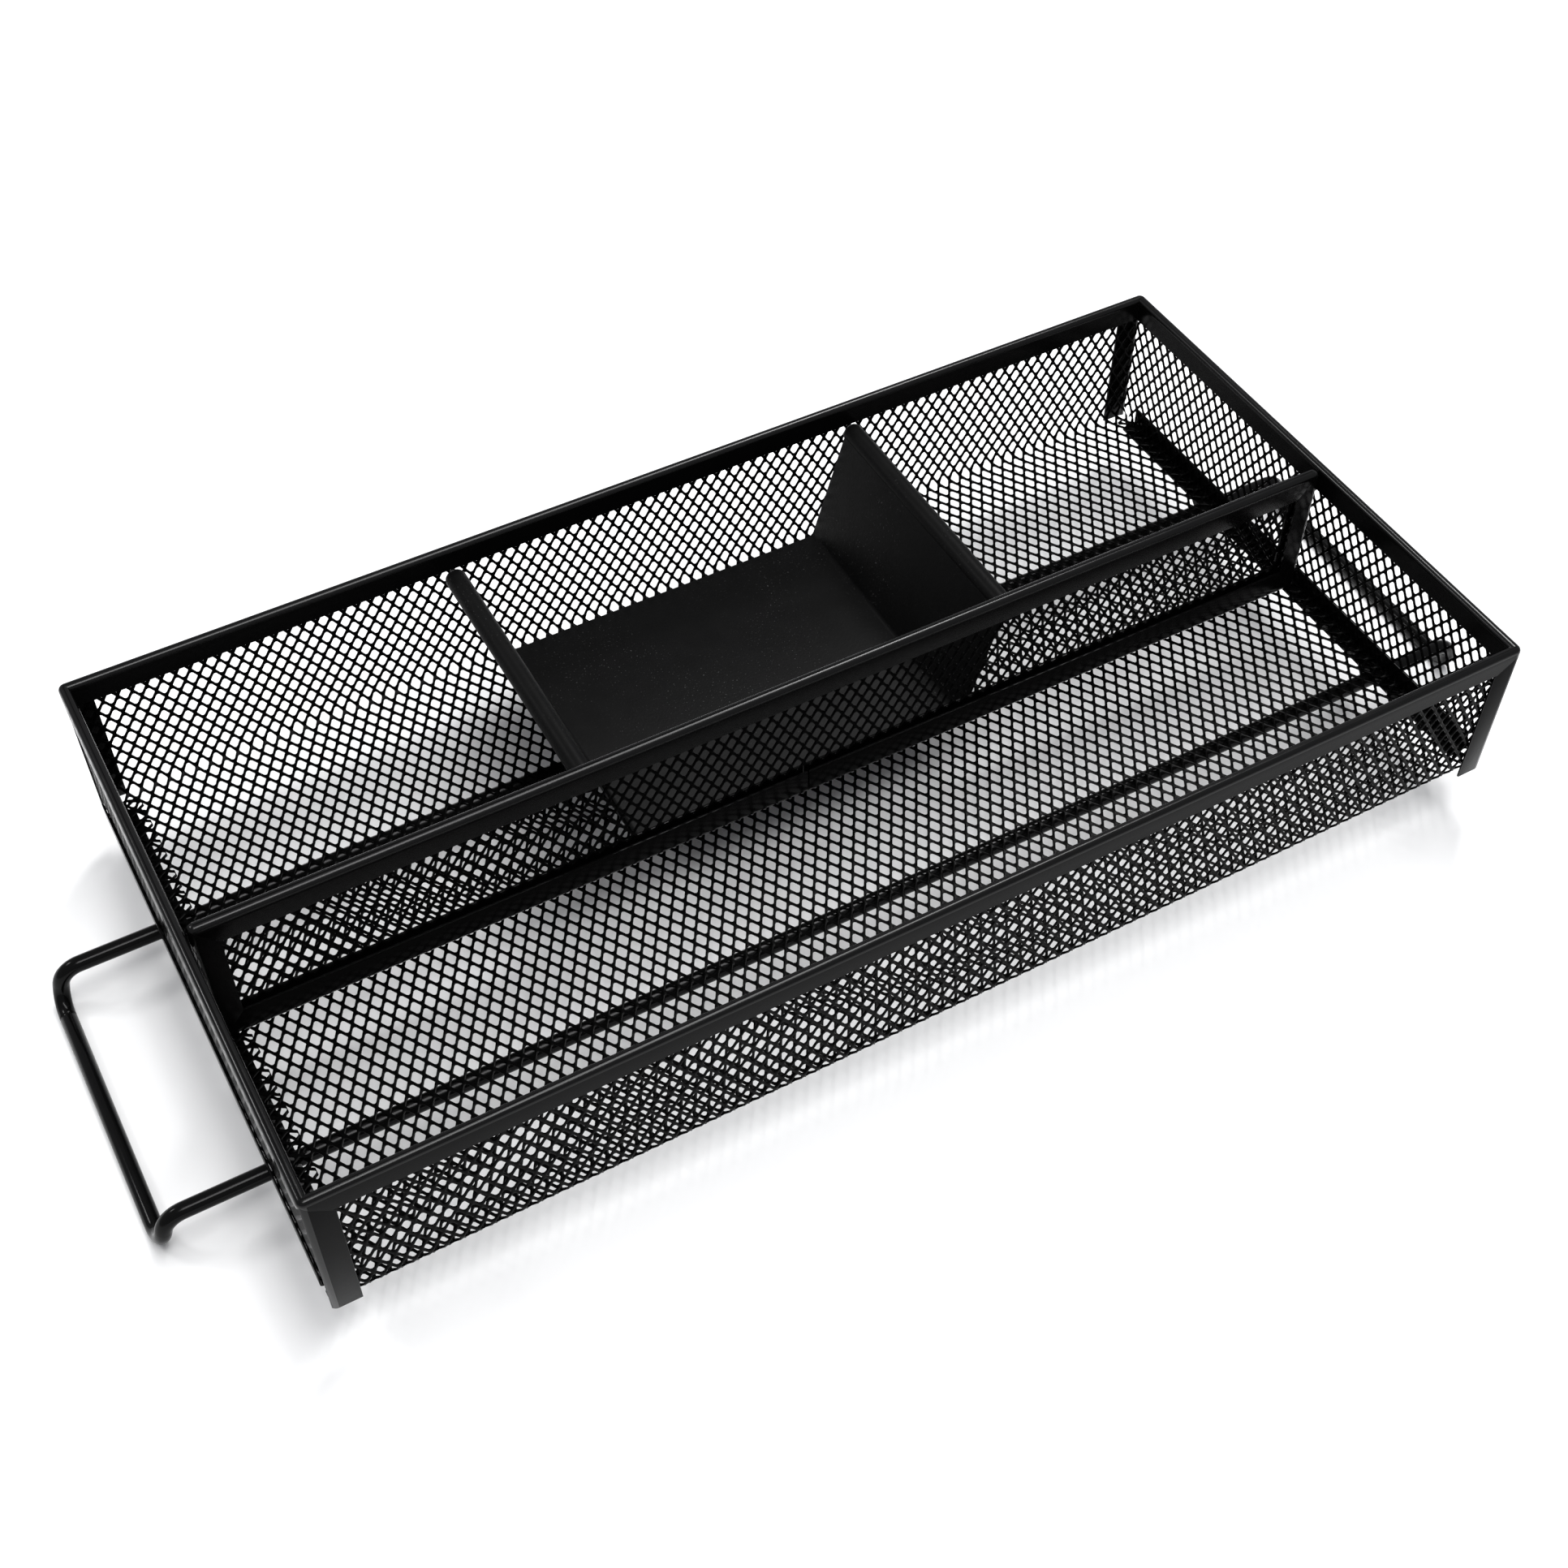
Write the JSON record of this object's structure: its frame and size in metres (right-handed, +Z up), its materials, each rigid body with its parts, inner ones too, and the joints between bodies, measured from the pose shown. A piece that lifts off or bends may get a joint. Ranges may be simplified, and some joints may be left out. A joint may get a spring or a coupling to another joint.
{
  "type": "mesh desk organizer tray",
  "caption": "Long low open-top desk or drawer tray of expanded metal mesh in a folded sheet rim, with a long divider, a loose sliding sheet insert and a wire base that forms end handles.",
  "frame": {"origin": "centre of the bounding box in plan, at the height of the surface that the wire crossbars stand on", "axes": "+Z up; +X along the length, towards the right handle; +Y towards the back, where the insert is"},
  "size_m": [0.4134, 0.178, 0.0644],
  "materials": {
    "mesh": "black satin powder coat on expanded steel mesh",
    "frame": "black satin powder coat on folded sheet steel",
    "insert": "black matt powder coat with faint dust",
    "wire": "black satin powder coat on drawn steel wire"
  },
  "bodies": {
    "tray": {"mesh_trough": "mesh", "end_mesh_left": "mesh", "end_mesh_right": "mesh", "divider_mesh": "mesh", "corner_post_front_left": "frame", "corner_post_front_right": "frame", "corner_post_back_left": "frame", "corner_post_back_right": "frame", "rim_front": "frame", "rim_back": "frame", "rim_left": "frame", "rim_right": "frame", "end_strip_left": "frame", "end_strip_right": "frame", "divider_top_rail": "frame", "divider_post_left": "frame", "divider_post_right": "frame", "divider_bottom_rail_left": "frame", "divider_bottom_rail_right": "frame", "wire_base": "wire", "weld_beads": "wire"},
    "insert": {"insert": "insert"}
  },
  "joints": [
    {"name": "insert_slide", "type": "slide", "parent": "tray", "child": "insert", "axis": [1, 0, 0], "range_m": [-0.1065, 0.102]}
  ]
}
